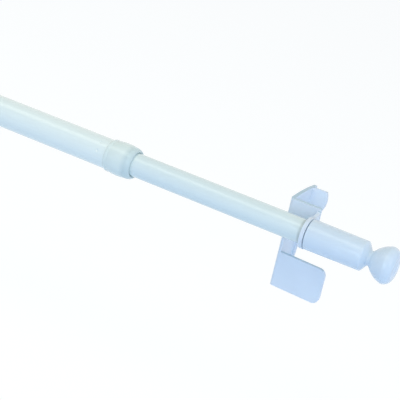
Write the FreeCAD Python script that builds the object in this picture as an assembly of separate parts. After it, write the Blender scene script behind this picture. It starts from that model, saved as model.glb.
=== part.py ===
import FreeCAD, Part
import math
import os

# Telescopic spring rod that is pressed between two hook brackets on a window sash.
# Frame: millimetres, +X along the rod towards the sprung end, +Y away from the room,
# +Z up, origin on the rod's axis at the middle of the outer tube.

V = FreeCAD.Vector
AXIS = V(1, 0, 0)
ORIGIN = V(0, 0, 0)

# Tubes
outer_diameter = 12.7
outer_wall = 0.7
outer_length = 290.0
inner_diameter = 10.0
inner_wall = 0.7
inner_length = 191.0
inner_shown = 77.5          # bare inner tube between the collar and the right end, at rest

# Fits
slide_fit = 0.08            # radial play of what slides in a tube
turn_fit = 0.08             # radial play of a hook bracket on its journal
seat_fit = 0.3              # radial play of the spring on its seats
end_play = 0.35             # axial play on each side of a bracket's ring
stop_play = 0.1             # gap at the flat stops inside the rod

# Punch dents that lock the collar's sleeve in the outer tube
dent_ball = 0.9
dent_depth = 0.3
dent_behind_collar = 5.8
dent_angles = (21.0, 57.0)  # degrees above the side that faces the room

# Guide collar
collar_length = 13.4
collar_front_wall = 3.2
collar_rear_radius = 6.5
collar_rim_radius = 6.88
collar_rim_width = 1.5
collar_rim_lead = 0.4       # length of the rim's eased rear edge
collar_groove = 0.12
collar_belly_rise = 0.38    # how far the belly stands out from its chord
collar_shoulder_radius = 6.85
collar_nose_radius = 5.95
collar_nose_length = 2.9
collar_nose_rise = 0.26
collar_mouth_chamfer = 0.45
collar_sleeve = 12.0

# End pieces with their knobs
body_diameter = 12.3
body_length = 23.4
cone_length = 2.1
neck_radius = 3.1
neck_length = 0.8
knob_radius = 7.55
knob_back = 6.6             # neck to the widest circle
knob_front = 4.2            # widest circle to the tip of the dome
knob_back_rise = 0.75       # how far the back and front stand out from their chords
knob_front_rise = 1.18
knob_face_radius = 3.6
knob_face_back = 0.6        # how far the edge of the dome lies behind its tip
shank_length = 18.0
shank_lead = 0.5
body_edge = 0.3

# Chords in the round stretches of a turned outline; more make a smoother, heavier piece
gentle_chords = 2
sharp_chords = 3

# Reducer in the open end of the outer tube
reducer_flange = 0.8

# Hook brackets
wall = 1.5
ring_radius = 6.4
tab_leave = 70.0            # degrees round the ring from the sash side where the tab's top edge leaves it
tab_waist = 6.0             # height of that edge where it is lowest
tab_waist_back = 6.5        # and how far behind the axis that is
hook_width = 13.9           # ring's outboard face to the side wall's inboard face
plane_offset = 8.8          # rod's axis to the front of the bracket's face plates
plate_top = 7.8
plate_bottom = 7.4
side_crown = 8.0            # side wall's arched top edge at its highest
side_crown_back = 8.2       # how far behind the face plates it is highest
tongue_top = 6.9
hook_depth = 22.05          # front of the face plates to the back of the tongue, at the top
far_lean = 13.7             # degrees that the far edge leans
ear = 2.6                   # side wall's stretch past the tongue
ear_rise = 0.5              # and above it
tongue_radius = 8.5
tongue_drop = 4.2           # tongue's top to the middle of its round end
tongue_turn = 45.0          # degrees to the middle of the round end's lower half
rib_height = 1.1
flag_top = 15.8             # rod's axis down to the flag's upper edge
flag_height = 15.3
flag_width = 21.9
flag_droop = 0.65           # how much lower the flag's free end is
flag_corner = 3.0
side_corner = 4.0
bend_outside = 1.4
bend_inside = 0.4

# Spring unit inside the outer tube
bush_flange = 3.0
bush_spigot = 12.0
cup_thickness = 4.0
seat_spigot_length = 3.0
rod_radius = 1.5
rod_head_radius = 3.0
rod_head_length = 1.5
rivet_radius = 2.6
rivet_length = 1.0
spring_length = 45.0
spring_wire_radius = 0.55
spring_mean_radius = 4.4
spring_turns = 7
spring_chords = 14          # straight bits in a turn
spring_wire_sides = 6
plug_flange = 2.5
plug_flange_play = 0.25
plug_spool_radius = 3.2
grip_length = 16.0
grip_slit = 1.2

# Sizes that follow from the ones above
outer_radius = outer_diameter / 2
outer_bore = outer_radius - outer_wall
inner_radius = inner_diameter / 2
inner_bore = inner_radius - inner_wall
collar_bore = inner_radius + slide_fit
ring_bore = inner_bore + turn_fit
body_radius = body_diameter / 2
slider_radius = outer_bore - slide_fit
rod_bore = rod_radius + slide_fit
seat_spigot_radius = spring_mean_radius - spring_wire_radius - seat_fit
lean = math.radians(far_lean)

# Places along the rod
mouth_x = outer_length / 2
collar_x = mouth_x + collar_front_wall
inner_end_x = collar_x + inner_shown
inner_start_x = inner_end_x - inner_length
right_ring_x = inner_end_x + end_play + wall
right_shoulder_x = right_ring_x + end_play
left_tube_x = -outer_length / 2 - reducer_flange
left_ring_x = left_tube_x - end_play - wall
left_shoulder_x = left_ring_x - end_play
cup_x = inner_start_x - bush_flange - stop_play
spring_right_x = cup_x - cup_thickness
spring_left_x = spring_right_x - spring_length
plug_length = 2 * plug_flange + grip_length
plug_x = spring_left_x - plug_length
rod_head_x = inner_start_x + bush_spigot + stop_play


def bow(a, b, rise, chords):
    """Points of a round stretch between two (x, radius) points, without the first."""
    run = V(b[0] - a[0], b[1] - a[1], 0)
    crest = V((a[0] + b[0]) / 2, (a[1] + b[1]) / 2, 0) + V(-run.y, run.x, 0).normalize() * rise
    curve = Part.Arc(V(a[0], a[1], 0), crest, V(b[0], b[1], 0)).toShape()
    return [(point.x, point.y) for point in curve.discretize(Number=chords + 1)[1:]]


def dome(face_x, face_radius, height, chords):
    """Points of a ball cap from its rim to its tip on the axis, without the first."""
    ball = (face_radius ** 2 + height ** 2) / (2 * height)
    turn = math.asin(face_radius / ball)
    centre = face_x + height - ball
    turns = [turn * (chords - i) / chords for i in range(1, chords + 1)]
    return [(centre + ball * math.cos(a), ball * math.sin(a)) for a in turns]


def turned(points):
    """Solid of revolution about the rod's axis from a closed (x, radius) outline."""
    outline = Part.makePolygon([V(x, radius, 0) for x, radius in points + points[:1]])
    return Part.Face(outline).revolve(ORIGIN, AXIS, 360)


def disc(x, radius, length):
    """Cylinder on the rod's axis that starts at x."""
    return Part.makeCylinder(radius, length, V(x, 0, 0), AXIS)


def sleeve(x, radius, bore, length):
    """Straight tube on the rod's axis that starts at x."""
    return disc(x, radius, length).cut(disc(x, bore, length))


def mirrored(shape):
    """The same shape for the left end, turned inside out along X."""
    return shape.mirror(ORIGIN, AXIS)


def moved(shape, x):
    """Copy of a shape, shifted along the rod."""
    copy = shape.copy()
    copy.translate(V(x, 0, 0))
    return copy


def outer_tube():
    """Welded steel tube with the two punch dents behind the collar."""
    tube = sleeve(-mouth_x, outer_radius, outer_bore, outer_length)
    dent_x = collar_x - collar_length - dent_behind_collar
    for angle in dent_angles:
        a = math.radians(angle)
        out = V(0, -math.cos(a), math.sin(a))
        centre = V(dent_x, 0, 0) + out * (outer_radius + dent_ball - dent_depth)
        tube = tube.cut(Part.makeSphere(dent_ball, centre))
    return tube


def inner_tube():
    """Thinner steel tube that slides out of the collar."""
    return sleeve(inner_start_x, inner_radius, inner_bore, inner_length)


def guide_collar():
    """Bell-shaped moulding on the outer tube's mouth, with a sleeve inside the tube."""
    rear = -collar_length
    rim = rear + collar_rim_width
    lead = rear + collar_rim_lead
    groove = (rim + collar_groove, collar_rim_radius - collar_groove)
    shoulder = (-collar_nose_length, collar_shoulder_radius)
    nose = (0, collar_nose_radius)
    seat = -collar_front_wall
    sleeve_end = seat - collar_sleeve
    points = [(rear, outer_radius), (rear, collar_rear_radius)]
    points += [(lead, collar_rim_radius), (rim, collar_rim_radius), groove]
    points += bow(groove, shoulder, collar_belly_rise, gentle_chords)
    points += bow(shoulder, nose, collar_nose_rise, gentle_chords)
    points += [
        (0, collar_bore + collar_mouth_chamfer),
        (-collar_mouth_chamfer, collar_bore),
        (sleeve_end, collar_bore),
        (sleeve_end, outer_bore),
        (seat, outer_bore),
        (seat, outer_radius),
    ]
    return moved(turned(points), collar_x)


def end_piece():
    """Moulded end: shank and journal, thick body, cone, neck and flattened-ball knob."""
    shank = -(2 * end_play + wall + shank_length)
    cone_x = body_length + cone_length
    neck_x = cone_x + neck_length
    wide = (neck_x + knob_back, knob_radius)
    tip_x = wide[0] + knob_front
    face = (tip_x - knob_face_back, knob_face_radius)
    points = [
        (shank, 0),
        (shank, inner_bore - shank_lead),
        (shank + shank_lead, inner_bore),
        (0, inner_bore),
        (0, body_radius - body_edge),
        (body_edge, body_radius),
        (body_length, body_radius),
        (cone_x, neck_radius),
        (neck_x, neck_radius),
    ]
    points += bow(points[-1], wide, knob_back_rise, gentle_chords)
    points += bow(wide, face, knob_front_rise, sharp_chords)
    points += dome(face[0], face[1], knob_face_back, gentle_chords)
    return turned(points)


def end_reducer():
    """Plastic bush in the outer tube's open end that takes the same shank."""
    sleeve_part = sleeve(left_tube_x, outer_bore, inner_bore, shank_length)
    flange = sleeve(left_tube_x, outer_radius, inner_bore, reducer_flange)
    return sleeve_part.fuse(flange).removeSplitter()


def box(x, y, z):
    """Box between two corners, each given as (low, high) along an axis."""
    return Part.makeBox(x[1] - x[0], y[1] - y[0], z[1] - z[0], V(x[0], y[0], z[0]))


def on_far_edge(x, s, w):
    """Point on the leaning far edge: s down from its top, w outwards from the tongue's back."""
    y = plane_offset + hook_depth - s * math.sin(lean) + w * math.cos(lean)
    z = tongue_top - s * math.cos(lean) - w * math.sin(lean)
    return V(x, y, z)


def edges_at(shape, direction, test):
    """Straight edges along one axis whose middle passes a test."""
    found = []
    for edge in shape.Edges:
        a, b = edge.Vertexes[0].Point, edge.Vertexes[-1].Point
        run = b - a
        if run.Length > 1e-6 and abs(abs(run.normalize().dot(direction)) - 1) < 1e-6:
            if test((a + b) * 0.5):
                found.append(edge)
    return found


def near(value, target):
    """True when two lengths are the same."""
    return abs(value - target) < 1e-4


def hook_ring():
    """Eye plate that rings the journal and sweeps back to the upper face plate."""
    tab_y = plane_offset + wall
    leave = math.radians(tab_leave)
    reach = math.hypot(tab_y, plate_bottom)
    low_turn = math.atan2(plate_bottom, tab_y) + math.acos(ring_radius / reach)
    corners = [
        V(-wall, ring_radius * math.cos(leave), ring_radius * math.sin(leave)),
        V(-wall, ring_radius * math.cos(low_turn), -ring_radius * math.sin(low_turn)),
        V(-wall, tab_y, -plate_bottom),
        V(-wall, tab_y, plate_top),
    ]
    edges = [Part.LineSegment(a, b).toShape() for a, b in zip(corners, corners[1:])]
    edges.append(Part.Arc(corners[3], V(-wall, tab_waist_back, tab_waist), corners[0]).toShape())
    tab = Part.Face(Part.Wire(edges)).extrude(V(wall, 0, 0))
    return disc(-wall, ring_radius, wall).fuse(tab)


def hook_side_wall():
    """Side wall across the rod, with its sloping top and leaning far edge."""
    bottom = -flag_top - flag_height
    x = -hook_width
    far_top = on_far_edge(x, -ear_rise, ear)
    far_run = on_far_edge(x, 1, ear) - on_far_edge(x, 0, ear)
    far_low = far_top + far_run * ((far_top.z - bottom) / math.cos(lean))
    corners = [far_top, far_low, V(x, plane_offset, bottom), V(x, plane_offset, plate_top)]
    crown = V(x, plane_offset + side_crown_back, side_crown)
    edges = [Part.Arc(corners[3], crown, far_top).toShape()]
    edges += [Part.LineSegment(a, b).toShape() for a, b in zip(corners, corners[1:])]
    slab = Part.Face(Part.Wire(edges)).extrude(V(wall, 0, 0))
    corner = edges_at(slab, AXIS, lambda m: near(m.z, bottom) and m.y > plane_offset + wall)
    return slab.makeFillet(side_corner, corner)


def hook_tongue():
    """Round-ended tongue behind the sash lip, with the low rib that goes on below it."""
    root_x = -hook_width + wall / 2
    middle_x = -hook_width
    half = math.sqrt(tongue_radius ** 2 - tongue_drop ** 2)
    top_turn = math.atan2(tongue_drop, half) / 2
    shoulder = (middle_x + half, 0.0)
    side = (
        middle_x + tongue_radius * math.cos(top_turn),
        tongue_drop - tongue_radius * math.sin(top_turn),
    )
    round_x = middle_x + tongue_radius
    low = tongue_drop + math.sqrt(tongue_radius ** 2 - (root_x - middle_x) ** 2)
    points = [on_far_edge(root_x, 0, -wall), on_far_edge(shoulder[0], 0, -wall)]
    widest = on_far_edge(round_x, tongue_drop, -wall)
    upper = Part.Arc(points[1], on_far_edge(side[0], side[1], -wall), widest)
    turn = math.radians(tongue_turn)
    lower_mid = on_far_edge(
        middle_x + tongue_radius * math.cos(turn), tongue_drop + tongue_radius * math.sin(turn), -wall
    )
    lower = Part.Arc(widest, lower_mid, on_far_edge(root_x, low, -wall))
    edges = [
        Part.LineSegment(points[0], points[1]).toShape(),
        upper.toShape(),
        lower.toShape(),
        Part.LineSegment(on_far_edge(root_x, low, -wall), points[0]).toShape(),
    ]
    out = on_far_edge(0, 0, 0) - on_far_edge(0, 0, -wall)
    tongue = Part.Face(Part.Wire(edges)).extrude(out)
    rib_end = (tongue_top + flag_top + flag_height - side_corner) / math.cos(lean)
    rib_x = -hook_width + wall + rib_height
    rib = Part.makePolygon([
        on_far_edge(root_x, tongue_drop, -wall),
        on_far_edge(rib_x, tongue_drop, -wall),
        on_far_edge(rib_x, rib_end - rib_height, -wall),
        on_far_edge(root_x, rib_end, -wall),
        on_far_edge(root_x, tongue_drop, -wall),
    ])
    return tongue.fuse(Part.Face(rib).extrude(out))


def hook_flag():
    """Lower face plate that droops a little towards its two rounded free corners."""
    free_x = flag_width - hook_width
    low = -flag_top - flag_height
    points = [(-hook_width, -flag_top), (free_x, -flag_top - flag_droop)]
    points += [(free_x, low - flag_droop), (-hook_width, low)]
    outline = Part.makePolygon([V(x, plane_offset, z) for x, z in points + points[:1]])
    flag = Part.Face(outline).extrude(V(0, wall, 0))
    corners = edges_at(flag, V(0, 1, 0), lambda m: near(m.x, free_x))
    return flag.makeFillet(flag_corner, corners)


def hook_bracket():
    """Hook bracket of the right end; its ring's outboard face lies at x = 0."""
    face = box((-hook_width, 0), (plane_offset, plane_offset + wall), (-plate_bottom, plate_top))
    body = hook_side_wall().fuse([face, hook_flag(), hook_ring()]).removeSplitter()
    outside = edges_at(
        body, V(0, 0, 1),
        lambda m: (near(m.x, -hook_width) and near(m.y, plane_offset))
        or (near(m.x, 0) and near(m.y, plane_offset + wall)),
    )
    body = body.makeFillet(bend_outside, outside)
    inside = edges_at(
        body, V(0, 0, 1),
        lambda m: (near(m.x, wall - hook_width) and near(m.y, plane_offset + wall))
        or (near(m.x, -wall) and near(m.y, plane_offset)),
    )
    body = body.makeFillet(bend_inside, inside)
    body = body.fuse(hook_tongue()).removeSplitter()
    return body.cut(disc(-2 * wall, ring_bore, 3 * wall))


def inner_end_bush():
    """Slider pressed into the inner tube's hidden end, bored for the guide rod."""
    flange = sleeve(inner_start_x - bush_flange, slider_radius, rod_bore, bush_flange)
    spigot = sleeve(inner_start_x, inner_bore, rod_bore, bush_spigot)
    return flange.fuse(spigot).removeSplitter()


def thrust_cup():
    """Cup that passes the spring's push to the bush and lets the inner tube turn."""
    plate = sleeve(spring_right_x, slider_radius, rod_bore, cup_thickness)
    spigot = sleeve(spring_right_x - seat_spigot_length, seat_spigot_radius, rod_bore, seat_spigot_length)
    return plate.fuse(spigot).removeSplitter()


def carrier_plug():
    """Spool that carries the grip sleeve and seats the spring's other end."""
    flange_radius = outer_bore - plug_flange_play
    shapes = [
        sleeve(plug_x, flange_radius, rod_radius, plug_flange),
        sleeve(plug_x + plug_flange, plug_spool_radius, rod_radius, grip_length),
        sleeve(spring_left_x - plug_flange, flange_radius, rod_radius, plug_flange),
        sleeve(spring_left_x, seat_spigot_radius, rod_radius, seat_spigot_length),
    ]
    return shapes[0].fuse(shapes[1:]).removeSplitter()


def grip_sleeve():
    """Split friction sleeve that holds the spring unit where it is set."""
    ring = sleeve(plug_x + plug_flange, slider_radius, plug_spool_radius, grip_length)
    slit = box(
        (plug_x, plug_x + plug_length),
        (-grip_slit / 2, grip_slit / 2),
        (0, outer_radius),
    )
    return ring.cut(slit)


def guide_rod():
    """Wire rod that keeps the spring straight, riveted to the plug and headed in the tube."""
    start = plug_x - rivet_length
    shapes = [
        disc(start, rivet_radius, rivet_length),
        disc(plug_x, rod_radius, rod_head_x - plug_x),
        disc(rod_head_x, rod_head_radius, rod_head_length),
    ]
    return shapes[0].fuse(shapes[1:]).removeSplitter()


def spring():
    """Open compression spring on the guide rod, its coil drawn as short straight bits of wire."""
    coil_length = spring_length - 2 * spring_wire_radius
    bits = spring_turns * spring_chords
    path = []
    for i in range(bits + 1):
        turn = 2 * math.pi * i / spring_chords
        along = spring_left_x + spring_wire_radius + coil_length * i / bits
        path.append(V(along, spring_mean_radius * math.cos(turn), spring_mean_radius * math.sin(turn)))
    run = (path[1] - path[0]).normalize()
    side = run.cross(V(0, 1, 0)).normalize()
    up = side.cross(run)
    section = []
    for i in range(spring_wire_sides + 1):
        turn = 2 * math.pi * (i + 0.5) / spring_wire_sides
        section.append(path[0] + (side * math.cos(turn) + up * math.sin(turn)) * spring_wire_radius)
    return Part.makePolygon(path).makePipeShell([Part.makePolygon(section)], True, False, 1)


def build():
    """Write one file for each piece."""
    end = end_piece()
    hook = hook_bracket()
    parts = {
        "outer_tube": outer_tube(),
        "guide_collar": guide_collar(),
        "end_reducer": end_reducer(),
        "end_piece_left": moved(mirrored(end), left_shoulder_x),
        "bracket_left": moved(mirrored(hook), left_ring_x),
        "inner_tube": inner_tube(),
        "inner_end_bush": inner_end_bush(),
        "end_piece_right": moved(end, right_shoulder_x),
        "bracket_right": moved(hook, right_ring_x),
        "thrust_cup": thrust_cup(),
        "carrier_plug": carrier_plug(),
        "grip_sleeve": grip_sleeve(),
        "guide_rod": guide_rod(),
        "spring": spring(),
    }
    os.makedirs("parts", exist_ok=True)
    for name, shape in parts.items():
        box_now = shape.BoundBox
        print(name, shape.ShapeType, len(shape.Solids), shape.isValid(), round(shape.Volume, 1),
              [round(v, 2) for v in (box_now.XMin, box_now.XMax, box_now.YMin, box_now.YMax,
                                     box_now.ZMin, box_now.ZMax)])
        shape.exportStep("parts/" + name + ".step")


build()
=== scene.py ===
import math
from typing import NamedTuple

import bmesh
import bpy
from bpy.props import FloatProperty, FloatVectorProperty, IntProperty, PointerProperty
from mathutils import Matrix, Vector


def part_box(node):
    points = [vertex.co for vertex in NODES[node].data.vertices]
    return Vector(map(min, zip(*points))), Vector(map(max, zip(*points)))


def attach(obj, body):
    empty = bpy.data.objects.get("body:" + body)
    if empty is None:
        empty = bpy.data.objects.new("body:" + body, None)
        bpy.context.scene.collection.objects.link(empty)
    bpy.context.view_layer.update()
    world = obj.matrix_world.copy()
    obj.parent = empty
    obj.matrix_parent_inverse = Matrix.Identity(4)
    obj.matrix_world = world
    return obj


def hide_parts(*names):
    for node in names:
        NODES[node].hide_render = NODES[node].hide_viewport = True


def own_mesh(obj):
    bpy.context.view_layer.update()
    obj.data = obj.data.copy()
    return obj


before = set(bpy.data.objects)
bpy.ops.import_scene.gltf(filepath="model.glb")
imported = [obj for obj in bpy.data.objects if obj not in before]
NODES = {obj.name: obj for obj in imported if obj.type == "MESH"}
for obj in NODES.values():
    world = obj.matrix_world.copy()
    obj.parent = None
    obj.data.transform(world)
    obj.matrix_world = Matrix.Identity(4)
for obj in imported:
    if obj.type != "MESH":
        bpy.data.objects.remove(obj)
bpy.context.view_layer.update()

# Looks of the telescopic spring rod: lacquered tubes, moulded collar, ends and hook brackets.
# The rod's axis is X, its sprung end points to +X, the sash is on the +Y side and +Z is up.

bl_info = {
    "name": "Spring Tension Rod Looks",
    "version": (1, 0, 0),
    "blender": (4, 5, 0),
    "location": "View3D > Sidebar > Spring Rod",
    "description": "Builds the visible surfaces and finishes of a spring tension rod",
    "category": "Object",
}

MM = 0.001

# Divisions of the turned pieces, of the outer tube's dented stretch and of the spring.
TURNED_STEPS = 144
OUTER_TUBE_STEPS = 320
DENT_ROWS = 44
COIL_STEPS = 48
WIRE_SIDES = 12

# How far the dented stretch reaches to either side of the dents, in radii of the punch.
DENT_REACH = 1.4

# How the brackets' mesh is cleaned, and what counts as a sharp edge of the moulding.
MERGE_DISTANCE = 0.005 * MM
FLAT_ANGLE = math.radians(2)
SHARP_ANGLE = math.radians(35)
EDGE_STEPS = 3

# Name of the mask for the painted shade on a bracket's rounded edges and folds, and which of its
# upward faces get that painted shade too: the narrow ones, nearly level, far enough behind the axis.
PAINTED_SHADE_MASK = "edge"
TOP_EDGE_WIDTH = 1.7 * MM
TOP_EDGE_TILT = 0.8
TOP_EDGE_BACK = 8.5 * MM

# Camera and floor: millimetres for the sensor, as Blender has it, and metres for the rest.
SENSOR_WIDTH = 36
NEAREST_SEEN = 0.01
FLOOR_HALF_SIDE = 6


class Moulding(NamedTuple):
    """What sets one moulded plastic apart; grain is in features per metre, its depth in metres."""

    roughness: float
    grain: float
    grain_depth: float
    coat: float = 0.0
    glow: float = 0.0


COLLAR_MOULDING = Moulding(roughness=0.22, grain=1400, grain_depth=0.01 * MM, coat=0.4, glow=0.1)
END_MOULDING = Moulding(roughness=0.24, grain=1200, grain_depth=0.01 * MM, coat=0.4, glow=0.1)
BRACKET_MOULDING = Moulding(roughness=0.38, grain=1600, grain_depth=0.02 * MM, coat=0.1, glow=0.3)
HIDDEN_MOULDING = Moulding(roughness=0.55, grain=1500, grain_depth=0.03 * MM)


class Lamp(NamedTuple):
    """Rectangular soft lamp: where it stands and looks, its sides in metres, its watts and tint."""

    stand: tuple
    target: tuple
    width: float
    height: float
    watts: float
    tint: tuple


LAMPS = {
    "overhead": Lamp(
        stand=(-0.1, -0.28, 0.75),
        target=(0, 0, 0),
        width=1.2,
        height=0.35,
        watts=1.9,
        tint=(0.95, 0.98, 0.84),
    ),
    "front_fill": Lamp(
        stand=(0.4, -1.15, 0.35),
        target=(0.19, 0, 0),
        width=0.8,
        height=0.6,
        watts=2.42,
        tint=(0.75, 0.86, 1.0),
    ),
    "side": Lamp(
        stand=(0.95, -0.16, 0.26),
        target=(0.19, 0, 0),
        width=0.4,
        height=0.4,
        watts=0.75,
        tint=(0.80, 0.90, 1.0),
    ),
}


def size(name, description, millimetres):
    """Length that a user can change."""
    return FloatProperty(
        name=name,
        description=description,
        default=millimetres * MM,
        min=0,
        unit="LENGTH",
        precision=5,
    )


def colour(name, description, red, green, blue):
    """Surface colour that a user can change."""
    return FloatVectorProperty(
        name=name,
        description=description,
        default=(red, green, blue),
        min=0,
        max=1,
        size=3,
        subtype="COLOR",
    )


def angle(name, description, degrees):
    """Angle that a user can change."""
    return FloatProperty(
        name=name,
        description=description,
        default=math.radians(degrees),
        subtype="ANGLE",
        unit="ROTATION",
    )


def share(name, description, value):
    """Share from 0 to 1 that a user can change."""
    return FloatProperty(
        name=name, description=description, default=value, min=0, max=1, subtype="FACTOR"
    )


def pixels(name, description, value):
    """Measure in the photograph's pixels."""
    return FloatProperty(name=name, description=description, default=value, subtype="PIXEL")


class RodSizes(bpy.types.PropertyGroup):
    """Sizes of the rod's visible forms."""

    tube_wall: size("Tube wall", "Wall of both tubes", 0.7)
    tube_lip: size("Tube lip", "Rounding of the tubes' cut edges", 0.15)
    # Where the painted shadow of the ring on the inner tube's end begins and where it is darkest.
    ring_shade_start: size("Rub start", "Inner tube's end to where the band rubbed by the ring begins", 1.5)
    ring_shade_full: size("Rub full", "Inner tube's end to where the band is darkest", 0.7)
    dent_ball: size("Dent ball", "Radius of the punch that dents the outer tube", 0.9)
    dent_depth: size("Dent depth", "Depth of each punch dent", 0.28)
    dent_gap: size("Dent gap", "Distance of the dents behind the collar", 3.6)
    dent_low: angle("Lower dent", "Height of the lower dent above the room's side", 21)
    dent_high: angle("Upper dent", "Height of the upper dent above the room's side", 57)
    collar_length: size("Collar length", "Length of the collar outside the tube", 12.6)
    collar_rear_radius: size("Collar rear radius", "Radius of the collar's rear edge", 6.5)
    collar_rear_ease: size("Collar rear ease", "Rounding of the collar's rear edge", 0.15)
    collar_rim_radius: size("Collar rim radius", "Radius of the thin rear rim", 6.88)
    collar_rim_width: size("Collar rim width", "Width of the thin rear rim", 1.5)
    collar_rim_lead: size("Collar rim lead", "Length of the rim's slope to the rear edge", 0.5)
    collar_rim_ease: size("Collar rim ease", "Rounding where the slope meets the rim", 0.35)
    collar_groove: size("Collar groove", "Step between the rim and the belly", 0.14)
    collar_groove_ease: size("Collar groove ease", "Length and rounding of that step", 0.1)
    collar_belly_rise: size("Collar belly", "How far the belly stands out from its chord", 0.37)
    collar_shoulder_radius: size("Collar shoulder radius", "Radius where the nose begins", 6.85)
    collar_nose_radius: size("Collar nose radius", "Radius of the front edge", 5.95)
    collar_nose_length: size("Collar nose length", "Length of the rounded nose", 2.9)
    collar_nose_rise: size("Collar nose rise", "How far the nose stands out from its chord", 0.27)
    collar_nose_back: size("Collar nose back", "Where the nose's edge starts to round, along", 0.5)
    collar_nose_out: size("Collar nose out", "Where the nose's edge starts to round, outward", 0.35)
    collar_nose_ease: size("Collar nose ease", "Rounding of the nose's edge", 0.25)
    # Where the painted shade on the collar's nose begins and where it is full, from the mouth.
    collar_shade_start: size("Nose shade start", "Mouth to where the nose's tone begins", 4.4)
    collar_shade_full: size("Nose shade full", "Mouth to where the nose's tone is full", 2.4)
    collar_bore: size("Collar bore", "Radius of the collar's bore", 5.08)
    collar_bore_ease: size("Collar bore ease", "Rounding between the chamfer and the bore", 0.2)
    collar_chamfer: size("Collar mouth chamfer", "Chamfer at the mouth of the bore", 0.45)
    collar_chamfer_ease: size("Collar chamfer ease", "Rounding of the chamfer's outer edge", 0.12)
    body_radius: size("End body radius", "Radius of the thick end body, half way along", 6.15)
    body_draft: size("End body draft", "How much its radius grows backward and shrinks forward", 0.08)
    body_length: size("End body length", "Length of the thick end body", 23.4)
    body_edge: size("End body edge", "Rounding of the body's rear edge", 0.3)
    cone_length: size("Cone length", "Length of the cone before the neck", 2.1)
    cone_ease: size("Cone ease", "Rounding at both ends of the cone and the neck", 0.5)
    neck_radius: size("Neck radius", "Radius of the neck", 3.08)
    neck_length: size("Neck length", "Length of the neck", 0.8)
    knob_radius: size("Knob radius", "Largest radius of the knob", 7.55)
    knob_back: size("Knob back", "Neck to the knob's widest circle", 6.6)
    knob_front: size("Knob front", "Widest circle to the knob's tip", 4.2)
    knob_back_rise: size("Knob back rise", "How far the back stands out from its chord", 0.74)
    knob_front_rise: size("Knob front rise", "How far the front stands out from its chord", 1.18)
    knob_face_radius: size("Knob face radius", "Radius of the flatter dome on the front", 3.6)
    knob_face_back: size("Knob face depth", "How far the dome's edge lies behind its tip", 0.6)
    knob_face_ease: size("Knob face ease", "Rounding of the dome's edge", 0.3)
    shank_radius: size("Shank radius", "Radius of the shank in the tube", 4.3)
    shank_lead: size("Shank lead", "Chamfer at the shank's end", 0.5)
    plate_edge: size("Plate edge", "Rounding of the bracket's moulded edges", 0.28)
    coil_wire: size("Spring wire", "Radius of the spring's wire", 0.55)
    coil_radius: size("Spring radius", "Mean radius of the spring's coil", 4.4)
    coil_turns: IntProperty(name="Spring turns", description="Turns of the spring", default=7, min=3)


class RodColours(bpy.types.PropertyGroup):
    """Colours of the rod's finishes."""

    lacquer: colour("Outer lacquer", "White lacquer on the outer tube", 0.87, 0.935, 0.895)
    # Painted shade: a darker copy of the outer lacquer, for the light that falls off towards the sprung
    # end.
    inner_lacquer: colour("Inner lacquer", "White lacquer on the inner tube", 0.78, 0.865, 0.85)
    collar: colour("Collar", "Moulded collar", 0.82, 0.91, 0.86)
    # Painted shade: a darker tone on the collar's nose, where less light comes through the plastic.
    painted_nose_shade: colour("Collar nose", "Nose, where no tube shows through", 0.655, 0.765, 0.755)
    end: colour("End", "Moulded end pieces", 0.73, 0.82, 0.905)
    bracket: colour("Bracket", "Moulded hook brackets", 0.80, 0.87, 0.96)
    # Painted shade on the brackets' rounded edges, folds and thin upward edges.
    painted_bracket_edge_shade: colour("Bracket edge", "Edges and folds of the brackets", 0.50, 0.63, 0.70)
    inner: colour("Inner plastic", "Hidden bushes, cup and plug", 0.55, 0.57, 0.58)
    rubber: colour("Rubber", "Friction sleeve", 0.05, 0.05, 0.055)
    steel: colour("Steel", "Spring and guide rod", 0.56, 0.57, 0.58)
    floor: colour("Floor", "Pale floor", 0.68, 0.82, 1.0)
    zenith: colour("Zenith", "Light from straight above", 0.57, 0.61, 0.53)
    horizon: colour("Horizon", "Light from all round", 0.58, 0.69, 1.0)


class StudioSettings(bpy.types.PropertyGroup):
    """Camera, floor and surroundings."""

    azimuth: angle("Azimuth", "Camera's turn round the rod", 23.577)
    elevation: angle("Elevation", "Camera's height above the rod", 22.385)
    roll: angle("Roll", "Camera's roll", 12.48)
    ring_depth: size("Ring depth", "Right bracket's ring in front of the camera", 488.85)
    ring_gap: size("Ring gap", "Inner tube's end to the outboard face of that ring", 1.85)
    ring_across: pixels("Ring across", "Pixel column of the ring", 308.772)
    ring_down: pixels("Ring down", "Pixel row of the ring", 233.846)
    focal: pixels("Focal length", "Focal length in pixels", 1259.75)
    picture: pixels("Picture", "Width and height of the photograph", 400)
    floor_drop: size("Floor drop", "Floor below the rod's axis", 95)
    floor_shade: share("Floor shade", "How much light the seen floor takes", 0.3)
    floor_glow: share("Floor glow", "White that the seen floor shows of itself", 0.78)
    left_share: share("Left share", "Strength of the surroundings' light from the left", 0.45)


def outline_of(*stretches):
    """One list of points from single points and lists of them."""
    points = []
    for stretch in stretches:
        points += stretch if isinstance(stretch, list) else [stretch]
    return points


def bow(a, b, rise, steps):
    """Points of a round stretch between two (x, radius) points, both left out."""
    a, b = Vector(a), Vector(b)
    chord = b - a
    half = chord.length / 2
    ball = (half ** 2 + rise ** 2) / (2 * rise)
    out = Vector((-chord.y, chord.x)).normalized()
    centre = (a + b) / 2 - out * (ball - rise)
    sweep = math.asin(min(1, half / ball))
    along = chord.normalized()
    turns = [-sweep + 2 * sweep * i / steps for i in range(1, steps)]
    return [tuple(centre + (along * math.sin(t) + out * math.cos(t)) * ball) for t in turns]


def eased(before, corner, after, radius, steps=4):
    """Points that round a corner of an outline, and take up less than half of each side."""
    most = 0.45
    before, corner, after = Vector(before), Vector(corner), Vector(after)
    a = corner + (before - corner).normalized() * min(radius, (before - corner).length * most)
    b = corner + (after - corner).normalized() * min(radius, (after - corner).length * most)
    shares = [i / steps for i in range(steps + 1)]
    return [tuple(a * (1 - s) ** 2 + corner * 2 * s * (1 - s) + b * s ** 2) for s in shares]


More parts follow.
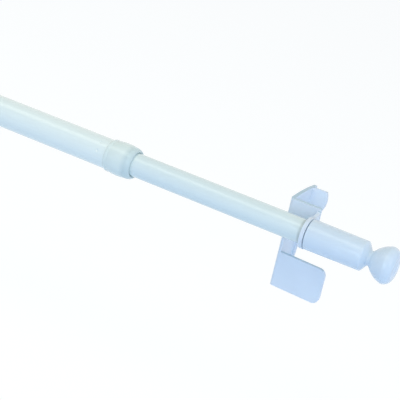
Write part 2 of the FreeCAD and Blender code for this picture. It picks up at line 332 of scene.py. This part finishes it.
def dome(face, tip_x, steps=10):
    """Points of a ball cap from its rim to its tip, both left out."""
    height = tip_x - face[0]
    ball = (face[1] ** 2 + height ** 2) / (2 * height)
    turn = math.asin(face[1] / ball)
    turns = [turn * (steps - i) / steps for i in range(1, steps)]
    return [(tip_x - ball + ball * math.cos(t), ball * math.sin(t)) for t in turns]


def mirrored_points(points, middle):
    """The same outline turned round end for end about a place on the axis."""
    return [(2 * middle - x, radius) for x, radius in points]


def add_object(name, mesh):
    """New object in the scene from a bmesh, which is used up."""
    data = bpy.data.meshes.new(name)
    mesh.to_mesh(data)
    mesh.free()
    piece = bpy.data.objects.new(name, data)
    bpy.context.scene.collection.objects.link(piece)
    return piece


def smooth_shaded(piece, sharp_degrees=38):
    """Smooth shading that keeps the crisp edges."""
    piece.data.shade_smooth()
    piece.data.set_sharp_from_angle(angle=math.radians(sharp_degrees))
    return piece


def lathe(name, points, steps=TURNED_STEPS, shape=None):
    """Turned mesh from an (x, radius) outline, which closes on itself or ends on the rod's axis."""
    on_axis = 1e-7
    mesh = bmesh.new()
    rings = []
    for x, radius in points:
        if radius < on_axis:
            rings.append([mesh.verts.new((x, 0, 0))])
            continue
        ring = []
        for k in range(steps):
            turn = 2 * math.pi * k / steps
            reach = shape(x, radius, turn) if shape else radius
            ring.append(mesh.verts.new((x, -reach * math.cos(turn), reach * math.sin(turn))))
        rings.append(ring)
    pairs = list(zip(rings, rings[1:]))
    if len(rings[0]) > 1:
        pairs.append((rings[-1], rings[0]))
    for low, high in pairs:
        for k in range(steps):
            n = (k + 1) % steps
            corners = [low[k], low[n]] if len(low) > 1 else [low[0]]
            corners += [high[n], high[k]] if len(high) > 1 else [high[0]]
            mesh.faces.new(corners)
    bmesh.ops.recalc_face_normals(mesh, faces=mesh.faces)
    return smooth_shaded(add_object(name, mesh))


def place(piece, body, finish, node):
    """Gives a piece its finish and its body, and hides the node that it stands for."""
    piece.data.materials.append(finish)
    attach(piece, body)
    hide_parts(node)


class RodFinish:
    """Small builder for one finish's node tree."""

    def __init__(self, name):
        self.material = bpy.data.materials.new(name)
        self.material.use_nodes = True
        self.tree = self.material.node_tree
        self.shader = self.tree.nodes["Principled BSDF"]
        self.spot = self.add("ShaderNodeTexCoord").outputs["Object"]

    def add(self, kind, **settings):
        """New node with its settings."""
        node = self.tree.nodes.new(kind)
        for key, value in settings.items():
            setattr(node, key, value)
        return node

    def link(self, source, socket):
        """Link between two sockets."""
        self.tree.links.new(source, socket)

    def noise(self, scale, detail, stretch=None):
        """Noise over the surface; scale is in features per metre."""
        texture = self.add("ShaderNodeTexNoise")
        texture.inputs["Scale"].default_value = scale
        texture.inputs["Detail"].default_value = detail
        spot = self.spot
        if stretch:
            mapping = self.add("ShaderNodeMapping")
            mapping.inputs["Scale"].default_value = stretch
            self.link(self.spot, mapping.inputs["Vector"])
            spot = mapping.outputs["Vector"]
        self.link(spot, texture.inputs["Vector"])
        return texture.outputs["Fac"]

    def along_rod(self):
        """Place along the rod's axis, in metres."""
        parts = self.add("ShaderNodeSeparateXYZ")
        self.link(self.spot, parts.inputs[0])
        return parts.outputs["X"]

    def ranged(self, value, low=0, high=1, start=0.3, end=0.7):
        """A value from start to end spread over the range from low to high."""
        node = self.add("ShaderNodeMapRange")
        node.inputs["From Min"].default_value = start
        node.inputs["From Max"].default_value = end
        node.inputs["To Min"].default_value = low
        node.inputs["To Max"].default_value = high
        self.link(value, node.inputs["Value"])
        return node.outputs["Result"]

    def mixed(self, amount, a, b):
        """Colour between two by an amount."""
        node = self.add("ShaderNodeMix", data_type="RGBA")
        self.link(amount, node.inputs["Factor"])
        for value, socket in ((a, node.inputs["A"]), (b, node.inputs["B"])):
            if isinstance(value, bpy.types.NodeSocket):
                self.link(value, socket)
            else:
                socket.default_value = (*value, 1)
        return node.outputs["Result"]

    def bump(self, value, distance, strength, before=None):
        """Relief from a value; distance is in metres."""
        node = self.add("ShaderNodeBump")
        node.inputs["Distance"].default_value = distance
        node.inputs["Strength"].default_value = strength
        self.link(value, node.inputs["Height"])
        if before:
            self.link(before, node.inputs["Normal"])
        return node.outputs["Normal"]

    def finished(self, tone, gloss, relief, **constants):
        """The material, with its three patterns linked and its constants on the shader's sockets."""
        for name, value in (("Base Color", tone), ("Roughness", gloss), ("Normal", relief)):
            self.link(value, self.shader.inputs[name])
        for key, value in constants.items():
            self.shader.inputs[key.replace("_", " ")].default_value = value
        return self.material


def tinted(base, factor):
    """Colour made lighter or darker."""
    return tuple(max(0.0, min(1.0, channel * factor)) for channel in base)


def plastic(name, base, moulding, edge=None, nose=None):
    """Moulded plastic: faint clouding, shallow sinks, fine mould grain and uneven gloss.

    Edge is the colour of the painted shade on thin edges and folds. Nose is the start, end and colour
    of a painted shade along the rod.
    """
    finish = RodFinish(name)
    cloud = finish.ranged(finish.noise(scale=90, detail=4))
    tone = finish.mixed(cloud, tinted(base, 0.975), tinted(base, 1.015))
    if edge:
        # Painted shade on the marked edges and folds.
        edge_shade_mask = finish.add("ShaderNodeAttribute", attribute_name=PAINTED_SHADE_MASK)
        tone = finish.mixed(edge_shade_mask.outputs["Fac"], tone, edge)
    if nose:
        # Painted shade along the rod, on the collar's nose.
        start, end, shade = nose
        tone = finish.mixed(finish.ranged(finish.along_rod(), start=start, end=end), tone, shade)
    gloss = finish.ranged(
        finish.noise(scale=380, detail=3),
        low=moulding.roughness * 0.86,
        high=moulding.roughness * 1.16,
    )
    sinks = finish.bump(
        finish.noise(scale=160, detail=2), distance=moulding.grain_depth * 2, strength=0.5
    )
    grain = finish.noise(scale=moulding.grain, detail=3)
    relief = finish.bump(grain, distance=moulding.grain_depth, strength=0.5, before=sinks)
    return finish.finished(
        tone,
        gloss,
        relief,
        IOR=1.42,
        Coat_Weight=moulding.coat,
        Coat_Roughness=0.08,
        Subsurface_Weight=moulding.glow,
        Subsurface_Scale=4 * MM,
        Subsurface_Radius=(0.8, 0.95, 1.0),
    )


def lacquer(name, base, ring_shade=None):
    """White stoving lacquer on drawn tube: orange peel, drawing lines, specks and a band of painted
    shadow.
    """
    finish = RodFinish(name)
    lines = finish.noise(scale=700, detail=2, stretch=(0.03, 1, 1))
    tone = finish.mixed(finish.ranged(lines), tinted(base, 0.985), tinted(base, 1.01))
    specks = finish.ranged(finish.noise(scale=1500, detail=1), start=0.72, end=0.78)
    tone = finish.mixed(specks, tone, tinted(base, 0.93))
    if ring_shade:
        # Painted shadow in a band along the rod, where the ring shades the tube.
        start, end = ring_shade
        shaded = finish.ranged(finish.along_rod(), start=start, end=end)
        tone = finish.mixed(shaded, tone, tinted(base, 0.72))
    gloss = finish.ranged(finish.noise(scale=260, detail=3), low=0.17, high=0.23)
    peel = finish.bump(finish.noise(scale=900, detail=2), distance=0.01 * MM, strength=0.3)
    relief = finish.bump(lines, distance=0.01 * MM, strength=0.2, before=peel)
    return finish.finished(tone, gloss, relief, IOR=1.45, Coat_Weight=0.5, Coat_Roughness=0.05)


def rubber(name, base):
    """Matt black rubber with a dusty bloom."""
    finish = RodFinish(name)
    bloom = finish.ranged(finish.noise(scale=500, detail=4), start=0.45, end=0.75)
    tone = finish.mixed(bloom, base, tinted(base, 2.2))
    gloss = finish.ranged(finish.noise(scale=900, detail=2), low=0.62, high=0.8)
    relief = finish.bump(finish.noise(scale=2500, detail=2), distance=0.03 * MM, strength=0.5)
    return finish.finished(tone, gloss, relief)


def drawn_steel(name, base):
    """Bright drawn wire with fine lines and uneven gloss."""
    finish = RodFinish(name)
    lines = finish.noise(scale=1800, detail=2, stretch=(0.08, 1, 1))
    tone = finish.mixed(finish.ranged(lines), tinted(base, 0.85), base)
    gloss = finish.ranged(finish.noise(scale=700, detail=3), low=0.24, high=0.4)
    relief = finish.bump(lines, distance=0.02 * MM, strength=0.4)
    return finish.finished(tone, gloss, relief, Metallic=1.0)


def finish_named(slot):
    """One of the rod's finishes, made when first needed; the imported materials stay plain."""
    label = slot + "_finish"
    found = bpy.data.materials.get(label)
    if found:
        return found
    sizes = bpy.context.scene.rod_sizes
    colours = bpy.context.scene.rod_colours
    tube_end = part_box("inner_tube")[1].x
    mouth_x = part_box("guide_collar")[1].x
    # Painted shadow of the ring on the inner tube's last millimetres.
    ring_shade = (tube_end - sizes.ring_shade_start, tube_end - sizes.ring_shade_full)
    # Painted shade on the collar's nose, from where it begins to where it is full.
    nose = (mouth_x - sizes.collar_shade_start, mouth_x - sizes.collar_shade_full, colours.painted_nose_shade)
    makers = {
        "tube_lacquer": (lacquer, colours.lacquer),
        "inner_lacquer": (lacquer, colours.inner_lacquer, ring_shade),
        "collar_plastic": (plastic, colours.collar, COLLAR_MOULDING, None, nose),
        "end_plastic": (plastic, colours.end, END_MOULDING),
        "bracket_white": (plastic, colours.bracket, BRACKET_MOULDING, colours.painted_bracket_edge_shade),
        "inner_plastic": (plastic, colours.inner, HIDDEN_MOULDING),
        "grip_rubber": (rubber, colours.rubber),
        "bare_steel": (drawn_steel, colours.steel),
    }
    maker, *details = makers[slot]
    return maker(label, *details)


def dented(dent_x, heights, ball, depth, skin_from):
    """Function that gives the outer tube's radius at a place, with dents in its outer skin."""
    def reach(x, radius, turn):
        if radius < skin_from or abs(x - dent_x) > ball:
            return radius
        for height in heights:
            off = (turn - height + math.pi) % (2 * math.pi) - math.pi
            apart = math.hypot(x - dent_x, off * radius)
            if apart < ball:
                radius -= max(0.0, math.sqrt(ball ** 2 - apart ** 2) - (ball - depth))
        return radius
    return reach


def tube_outline(node, wall, lip, dense=None):
    """Outline of a tube with softly broken cut edges; dense adds rows between two places."""
    low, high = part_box(node)
    radius = high.z
    bore = radius - wall
    outer_low, outer_high = (low.x, radius), (high.x, radius)
    inner_low, inner_high = (low.x, bore), (high.x, bore)
    rows = []
    if dense:
        start, end = dense
        rows = [(start + (end - start) * i / DENT_ROWS, radius) for i in range(DENT_ROWS + 1)]
    return outline_of(
        eased(inner_low, outer_low, outer_high, lip),
        rows,
        eased(outer_low, outer_high, inner_high, lip),
        inner_high,
        inner_low,
    )


class ROD_OT_tubes(bpy.types.Operator):
    """Outer tube with its two punch dents, and the thinner tube that slides in it"""

    bl_idname = "rod.tubes"
    bl_label = "Tubes"

    def execute(self, context):
        sizes = context.scene.rod_sizes
        dent_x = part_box("guide_collar")[1].x - sizes.collar_length - sizes.dent_gap
        reach = sizes.dent_ball * DENT_REACH
        dense = (dent_x - reach, dent_x + reach)
        outline = tube_outline("outer_tube", sizes.tube_wall, sizes.tube_lip, dense)
        heights = (sizes.dent_low, sizes.dent_high)
        skin_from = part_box("outer_tube")[1].z - sizes.tube_wall / 2
        shape = dented(dent_x, heights, sizes.dent_ball, sizes.dent_depth, skin_from)
        outer = lathe("outer_tube_skin", outline, OUTER_TUBE_STEPS, shape)
        place(outer, "outer", finish_named("tube_lacquer"), "outer_tube")
        inner = lathe("inner_tube_skin", tube_outline("inner_tube", sizes.tube_wall, sizes.tube_lip))
        place(inner, "inner", finish_named("inner_lacquer"), "inner_tube")
        return {"FINISHED"}


class ROD_OT_collar(bpy.types.Operator):
    """Bell-shaped guide collar on the outer tube's mouth"""

    bl_idname = "rod.collar"
    bl_label = "Guide Collar"

    def execute(self, context):
        collar = lathe("guide_collar_moulding", self.outline(context.scene.rod_sizes))
        place(collar, "outer", finish_named("collar_plastic"), "guide_collar")
        return {"FINISHED"}

    def outline(self, sizes):
        """Outline from the rear edge over the belly to the mouth and back through the sleeve."""
        low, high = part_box("guide_collar")
        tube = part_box("outer_tube")[1]
        sleeve_end, nose_x = low.x, high.x
        seat_x, tube_radius = tube.x, tube.z
        sleeve = tube_radius - sizes.tube_wall
        rear_x = nose_x - sizes.collar_length
        rim_x = rear_x + sizes.collar_rim_width
        foot = (rear_x, tube_radius)
        rear = (rear_x, sizes.collar_rear_radius)
        rim_rear = (rear_x + sizes.collar_rim_lead, sizes.collar_rim_radius)
        rim = (rim_x, sizes.collar_rim_radius)
        groove = (rim_x + sizes.collar_groove_ease, sizes.collar_rim_radius - sizes.collar_groove)
        shoulder = (nose_x - sizes.collar_nose_length, sizes.collar_shoulder_radius)
        before_nose = (nose_x - sizes.collar_nose_back, sizes.collar_nose_radius + sizes.collar_nose_out)
        nose = (nose_x, sizes.collar_nose_radius)
        mouth = (nose_x, sizes.collar_bore + sizes.collar_chamfer)
        bore = (nose_x - sizes.collar_chamfer, sizes.collar_bore)
        bore_end = (sleeve_end, sizes.collar_bore)
        return outline_of(
            foot,
            eased(foot, rear, rim_rear, sizes.collar_rear_ease),
            eased(rear, rim_rear, rim, sizes.collar_rim_ease),
            eased(rim_rear, rim, groove, sizes.collar_groove_ease),
            groove,
            bow(groove, shoulder, sizes.collar_belly_rise, steps=24),
            bow(shoulder, nose, sizes.collar_nose_rise, steps=16),
            eased(before_nose, nose, mouth, sizes.collar_nose_ease),
            eased(nose, mouth, bore, sizes.collar_chamfer_ease),
            eased(mouth, bore, bore_end, sizes.collar_bore_ease),
            bore_end,
            (sleeve_end, sleeve),
            (seat_x, sleeve),
            (seat_x, tube_radius),
        )


def end_outline(sizes, start_x, tip_x):
    """Outline of an end piece from the shank's end to the knob's tip."""
    wide = (tip_x - sizes.knob_front, sizes.knob_radius)
    neck = (wide[0] - sizes.knob_back, sizes.neck_radius)
    cone = (neck[0] - sizes.neck_length, sizes.neck_radius)
    body_end = (cone[0] - sizes.cone_length, sizes.body_radius - sizes.body_draft)
    body_start = (body_end[0] - sizes.body_length, sizes.body_radius + sizes.body_draft)
    foot = (body_start[0], sizes.shank_radius)
    lead = (start_x + sizes.shank_lead, sizes.shank_radius)
    face = (tip_x - sizes.knob_face_back, sizes.knob_face_radius)
    back = bow(neck, wide, sizes.knob_back_rise, steps=22)
    front = bow(wide, face, sizes.knob_front_rise, steps=22)
    cap = dome(face, tip_x)
    return outline_of(
        (start_x, 0),
        (start_x, sizes.shank_radius - sizes.shank_lead),
        lead,
        foot,
        eased(foot, body_start, body_end, sizes.body_edge, steps=5),
        eased(body_start, body_end, cone, sizes.cone_ease, steps=5),
        eased(body_end, cone, neck, sizes.cone_ease, steps=5),
        eased(cone, neck, back[2], sizes.cone_ease, steps=5),
        back[3:],
        wide,
        front[:-1],
        eased(front[-2], face, cap[1], sizes.knob_face_ease),
        cap[1:],
        (tip_x, 0),
    )


class ROD_OT_ends(bpy.types.Operator):
    """Both moulded ends: shank, thick body, cone, neck and flattened-ball knob"""

    bl_idname = "rod.ends"
    bl_label = "End Pieces"

    def execute(self, context):
        sizes = context.scene.rod_sizes
        finish = finish_named("end_plastic")
        low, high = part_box("end_piece_right")
        right = lathe("end_piece_right_moulding", end_outline(sizes, low.x, high.x))
        place(right, "inner", finish, "end_piece_right")
        low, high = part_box("end_piece_left")
        outline = mirrored_points(end_outline(sizes, low.x, high.x), (low.x + high.x) / 2)
        left = lathe("end_piece_left_moulding", outline)
        place(left, "outer", finish, "end_piece_left")
        return {"FINISHED"}


def moulded_copy(name, node, rounding):
    """Copy of a node's mesh with its sharp edges softly rounded, and its rounded and thin upward edges
    marked for painted shade.
    """
    mesh = bmesh.new()
    mesh.from_mesh(NODES[node].data)
    bmesh.ops.remove_doubles(mesh, verts=mesh.verts, dist=MERGE_DISTANCE)
    bmesh.ops.dissolve_limit(
        mesh,
        angle_limit=FLAT_ANGLE,
        verts=mesh.verts,
        edges=mesh.edges,
        use_dissolve_boundaries=False,
    )
    sharp = [line for line in mesh.edges if line.is_manifold and line.calc_face_angle(0) > SHARP_ANGLE]
    edge_shade_mask = mesh.faces.layers.float.new(PAINTED_SHADE_MASK)
    rounded = bmesh.ops.bevel(
        mesh,
        geom=sharp,
        offset=rounding,
        offset_type="OFFSET",
        segments=EDGE_STEPS,
        profile=0.5,
        affect="EDGES",
        clamp_overlap=True,
        miter_outer="ARC",
    )
    # Painted shade on the rounded edges and folds.
    for face in rounded["faces"]:
        face[edge_shade_mask] = 1.0
    mesh.normal_update()
    # Painted shade on the thin, nearly level faces on top, behind the axis.
    for face in mesh.faces:
        thin = 2 * face.calc_area() / face.calc_perimeter() < TOP_EDGE_WIDTH
        on_top = face.normal.z > TOP_EDGE_TILT and face.calc_center_median().y > TOP_EDGE_BACK
        if thin and on_top:
            face[edge_shade_mask] = 1.0
    bmesh.ops.triangulate(mesh, faces=[face for face in mesh.faces if len(face.verts) > 4])
    bmesh.ops.recalc_face_normals(mesh, faces=mesh.faces)
    piece = smooth_shaded(add_object(name, mesh), sharp_degrees=30)
    even = piece.modifiers.new("even_normals", "WEIGHTED_NORMAL")
    even.keep_sharp = True
    return piece


class ROD_OT_brackets(bpy.types.Operator):
    """Both hook brackets with their ring, face plates, side wall, tongue and flag"""

    bl_idname = "rod.brackets"
    bl_label = "Hook Brackets"

    def execute(self, context):
        rounding = context.scene.rod_sizes.plate_edge
        for side in ("right", "left"):
            node = "bracket_" + side
            piece = moulded_copy(node + "_moulding", node, rounding)
            place(piece, "hook_" + side, finish_named("bracket_white"), node)
        return {"FINISHED"}


def coil(name, start_x, end_x, radius, wire, turns):
    """Compression spring as a swept round wire, between two places on the axis."""
    mesh = bmesh.new()
    rise = end_x - start_x - 2 * wire
    pitch = rise / turns / (2 * math.pi * radius)
    rings = []
    for i in range(turns * COIL_STEPS + 1):
        turn = 2 * math.pi * i / COIL_STEPS
        out = Vector((0, math.cos(turn), math.sin(turn)))
        run = Vector((pitch, -math.sin(turn), math.cos(turn))).normalized()
        up = run.cross(out).normalized()
        centre = Vector((start_x + wire + rise * i / (turns * COIL_STEPS), 0, 0)) + out * radius
        ring = []
        for k in range(WIRE_SIDES):
            t = 2 * math.pi * k / WIRE_SIDES
            ring.append(mesh.verts.new(centre + (out * math.cos(t) + up * math.sin(t)) * wire))
        rings.append(ring)
    for low, high in zip(rings, rings[1:]):
        for k in range(WIRE_SIDES):
            n = (k + 1) % WIRE_SIDES
            mesh.faces.new((low[k], low[n], high[n], high[k]))
    mesh.faces.new(rings[0][::-1])
    mesh.faces.new(rings[-1])
    bmesh.ops.recalc_face_normals(mesh, faces=mesh.faces)
    return smooth_shaded(add_object(name, mesh))


class ROD_OT_inner_works(bpy.types.Operator):
    """Spring, guide rod, bushes, cup, plug and friction sleeve inside the tubes"""

    bl_idname = "rod.inner_works"
    bl_label = "Inner Works"

    def execute(self, context):
        sizes = context.scene.rod_sizes
        low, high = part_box("spring")
        wire, turns = sizes.coil_wire, sizes.coil_turns
        spring = coil("spring_coil", low.x, high.x, sizes.coil_radius, wire, turns)
        place(spring, "spring_unit", finish_named("bare_steel"), "spring")
        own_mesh(spring)
        finishes = {
            "end_reducer": "end_plastic",
            "inner_end_bush": "inner_plastic",
            "thrust_cup": "inner_plastic",
            "carrier_plug": "inner_plastic",
            "grip_sleeve": "grip_rubber",
            "guide_rod": "bare_steel",
        }
        for node, finish in finishes.items():
            for holder in NODES[node].material_slots:
                holder.material = finish_named(finish)
        return {"FINISHED"}


def area_lamp(name, lamp):
    """Soft lamp that looks at its target and isn't seen itself."""
    data = bpy.data.lights.new(name, "AREA")
    data.shape = "RECTANGLE"
    data.size, data.size_y = lamp.width, lamp.height
    data.energy = lamp.watts
    data.color = lamp.tint
    light = bpy.data.objects.new(name, data)
    bpy.context.scene.collection.objects.link(light)
    light.visible_camera = False
    aim = (Vector(lamp.target) - Vector(lamp.stand)).to_track_quat("-Z", "Y").to_matrix().to_4x4()
    light.matrix_world = Matrix.Translation(lamp.stand) @ aim


def seen_rays(tree):
    """Share of rays from the camera, from reflections and through clear things."""
    path = tree.nodes.new("ShaderNodeLightPath")
    total = path.outputs["Is Camera Ray"]
    for name in ("Is Glossy Ray", "Is Transmission Ray"):
        larger = tree.nodes.new("ShaderNodeMath")
        larger.operation = "MAXIMUM"
        tree.links.new(total, larger.inputs[0])
        tree.links.new(path.outputs[name], larger.inputs[1])
        total = larger.outputs[0]
    return total


def floor_material(base, shade, glow_strength):
    """Pale floor that shows white and keeps the rod's soft shadow."""
    material = bpy.data.materials.new("pale_floor")
    material.use_nodes = True
    tree = material.node_tree
    tree.nodes.clear()
    output = tree.nodes.new("ShaderNodeOutputMaterial")
    plain = tree.nodes.new("ShaderNodeBsdfDiffuse")
    plain.inputs["Color"].default_value = (*base, 1)
    shadowed = tree.nodes.new("ShaderNodeBsdfDiffuse")
    shadowed.inputs["Color"].default_value = (shade, shade, shade, 1)
    glow = tree.nodes.new("ShaderNodeEmission")
    glow.inputs["Strength"].default_value = glow_strength
    both = tree.nodes.new("ShaderNodeAddShader")
    tree.links.new(shadowed.outputs[0], both.inputs[0])
    tree.links.new(glow.outputs[0], both.inputs[1])
    mix = tree.nodes.new("ShaderNodeMixShader")
    tree.links.new(seen_rays(tree), mix.inputs["Fac"])
    tree.links.new(plain.outputs[0], mix.inputs[1])
    tree.links.new(both.outputs[0], mix.inputs[2])
    tree.links.new(mix.outputs[0], output.inputs["Surface"])
    return material


def studio_world(zenith, horizon, left_share):
    """White surroundings to the eye; soft light, cooler to the horizon and dimmer to the left."""
    world = bpy.data.worlds.new("studio")
    bpy.context.scene.world = world
    world.use_nodes = True
    tree = world.node_tree
    tree.nodes.clear()
    output = tree.nodes.new("ShaderNodeOutputWorld")
    seen = tree.nodes.new("ShaderNodeBackground")
    seen.inputs["Color"].default_value = (1, 1, 1, 1)
    way = tree.nodes.new("ShaderNodeSeparateXYZ")
    tree.links.new(tree.nodes.new("ShaderNodeTexCoord").outputs["Generated"], way.inputs[0])
    tint = tree.nodes.new("ShaderNodeMix")
    tint.data_type = "RGBA"
    tint.inputs["A"].default_value = (*horizon, 1)
    tint.inputs["B"].default_value = (*zenith, 1)
    tree.links.new(way.outputs["Z"], tint.inputs["Factor"])
    side = tree.nodes.new("ShaderNodeMapRange")
    side.inputs["From Min"].default_value = -1
    side.inputs["From Max"].default_value = 0
    side.inputs["To Min"].default_value = left_share
    side.inputs["To Max"].default_value = 1
    tree.links.new(way.outputs["X"], side.inputs["Value"])
    soft = tree.nodes.new("ShaderNodeBackground")
    tree.links.new(tint.outputs["Result"], soft.inputs["Color"])
    tree.links.new(side.outputs["Result"], soft.inputs["Strength"])
    mix = tree.nodes.new("ShaderNodeMixShader")
    tree.links.new(seen_rays(tree), mix.inputs["Fac"])
    tree.links.new(soft.outputs[0], mix.inputs[1])
    tree.links.new(seen.outputs[0], mix.inputs[2])
    tree.links.new(mix.outputs[0], output.inputs["Surface"])


class ROD_OT_studio(bpy.types.Operator):
    """Camera, pale floor, white surroundings and soft lamps"""

    bl_idname = "rod.studio"
    bl_label = "Studio"

    def execute(self, context):
        studio = context.scene.rod_studio
        colours = context.scene.rod_colours
        self.camera(context, studio)
        self.floor(studio, colours)
        studio_world(colours.zenith, colours.horizon, studio.left_share)
        for name, lamp in LAMPS.items():
            area_lamp(name, lamp)
        context.scene.view_settings.view_transform = "Standard"
        return {"FINISHED"}

    def camera(self, context, studio):
        """Camera that sees the right bracket's ring at its own pixel."""
        azimuth, elevation, roll = studio.azimuth, studio.elevation, studio.roll
        flat = math.cos(elevation)
        back = Vector((math.sin(azimuth) * flat, -math.cos(azimuth) * flat, math.sin(elevation)))
        level = Vector((math.cos(azimuth), math.sin(azimuth), 0))
        upright = back.cross(level)
        right = level * math.cos(roll) + upright * math.sin(roll)
        up = upright * math.cos(roll) - level * math.sin(roll)
        ring = Vector((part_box("inner_tube")[1].x + studio.ring_gap, 0, 0))
        depth = studio.ring_depth
        across = (studio.ring_across - studio.picture / 2) / studio.focal * depth
        down = (studio.ring_down - studio.picture / 2) / studio.focal * depth
        data = bpy.data.cameras.new("studio_camera")
        data.sensor_width = SENSOR_WIDTH
        data.lens = studio.focal / studio.picture * SENSOR_WIDTH
        data.clip_start = NEAREST_SEEN
        camera = bpy.data.objects.new("studio_camera", data)
        context.scene.collection.objects.link(camera)
        turn = Matrix((right, up, back)).transposed().to_4x4()
        stand = ring - right * across + up * down + back * depth
        camera.matrix_world = Matrix.Translation(stand) @ turn
        context.scene.camera = camera

    def floor(self, studio, colours):
        """Large floor below the rod."""
        mesh = bmesh.new()
        bmesh.ops.create_grid(mesh, x_segments=1, y_segments=1, size=FLOOR_HALF_SIDE)
        floor = add_object("floor", mesh)
        floor.location.z = -studio.floor_drop
        floor.data.materials.append(floor_material(colours.floor, studio.floor_shade, studio.floor_glow))


class ROD_PT_looks(bpy.types.Panel):
    """Steps that dress the spring rod"""

    bl_label = "Spring Rod"
    bl_idname = "ROD_PT_looks"
    bl_space_type = "VIEW_3D"
    bl_region_type = "UI"
    bl_category = "Spring Rod"

    def draw(self, context):
        for step in STEPS:
            self.layout.operator(step.bl_idname)
        for name in GROUPS:
            group = getattr(context.scene, name)
            column = self.layout.column(align=True)
            for key in group.__annotations__:
                column.prop(group, key)


STEPS = (ROD_OT_tubes, ROD_OT_collar, ROD_OT_ends, ROD_OT_brackets, ROD_OT_inner_works, ROD_OT_studio)
GROUPS = {"rod_sizes": RodSizes, "rod_colours": RodColours, "rod_studio": StudioSettings}


def register():
    """Adds the sizes, colours, steps and panel to Blender."""
    for name, group in GROUPS.items():
        bpy.utils.register_class(group)
        setattr(bpy.types.Scene, name, PointerProperty(type=group))
    for step in STEPS:
        bpy.utils.register_class(step)
    bpy.utils.register_class(ROD_PT_looks)


def unregister():
    """Takes them out again."""
    bpy.utils.unregister_class(ROD_PT_looks)
    for step in reversed(STEPS):
        bpy.utils.unregister_class(step)
    for name, group in GROUPS.items():
        delattr(bpy.types.Scene, name)
        bpy.utils.unregister_class(group)


def main():
    """Builds everything."""
    register()
    bpy.ops.rod.tubes()
    bpy.ops.rod.collar()
    bpy.ops.rod.ends()
    bpy.ops.rod.brackets()
    bpy.ops.rod.inner_works()
    bpy.ops.rod.studio()


if __name__ == "__main__":
    main()
